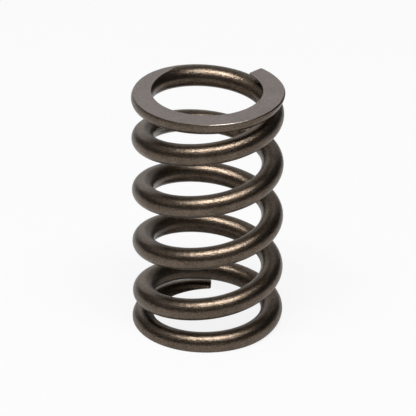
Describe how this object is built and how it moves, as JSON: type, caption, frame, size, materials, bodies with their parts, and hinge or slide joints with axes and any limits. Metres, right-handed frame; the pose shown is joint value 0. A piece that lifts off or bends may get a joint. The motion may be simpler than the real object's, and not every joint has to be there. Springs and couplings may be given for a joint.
{
  "type": "engine valve spring",
  "caption": "Round-wire compression coil spring with closed, flat-ground ends; it shuts an engine's valve.",
  "frame": {"origin": "on the coil axis, in the plane of the lower ground face", "axes": "+Z along the coil axis from the lower ground face to the upper one; the lower wire tip is about 88 degrees from +X towards +Y, and the wire rises anticlockwise seen from +Z"},
  "size_m": [0.0321, 0.0319, 0.0534],
  "materials": {
    "spring_steel": "shot-peened, dark bronze brown wire with matt grey ground ends"
  },
  "bodies": {
    "root": {"valve_spring": "spring_steel"}
  },
  "joints": []
}
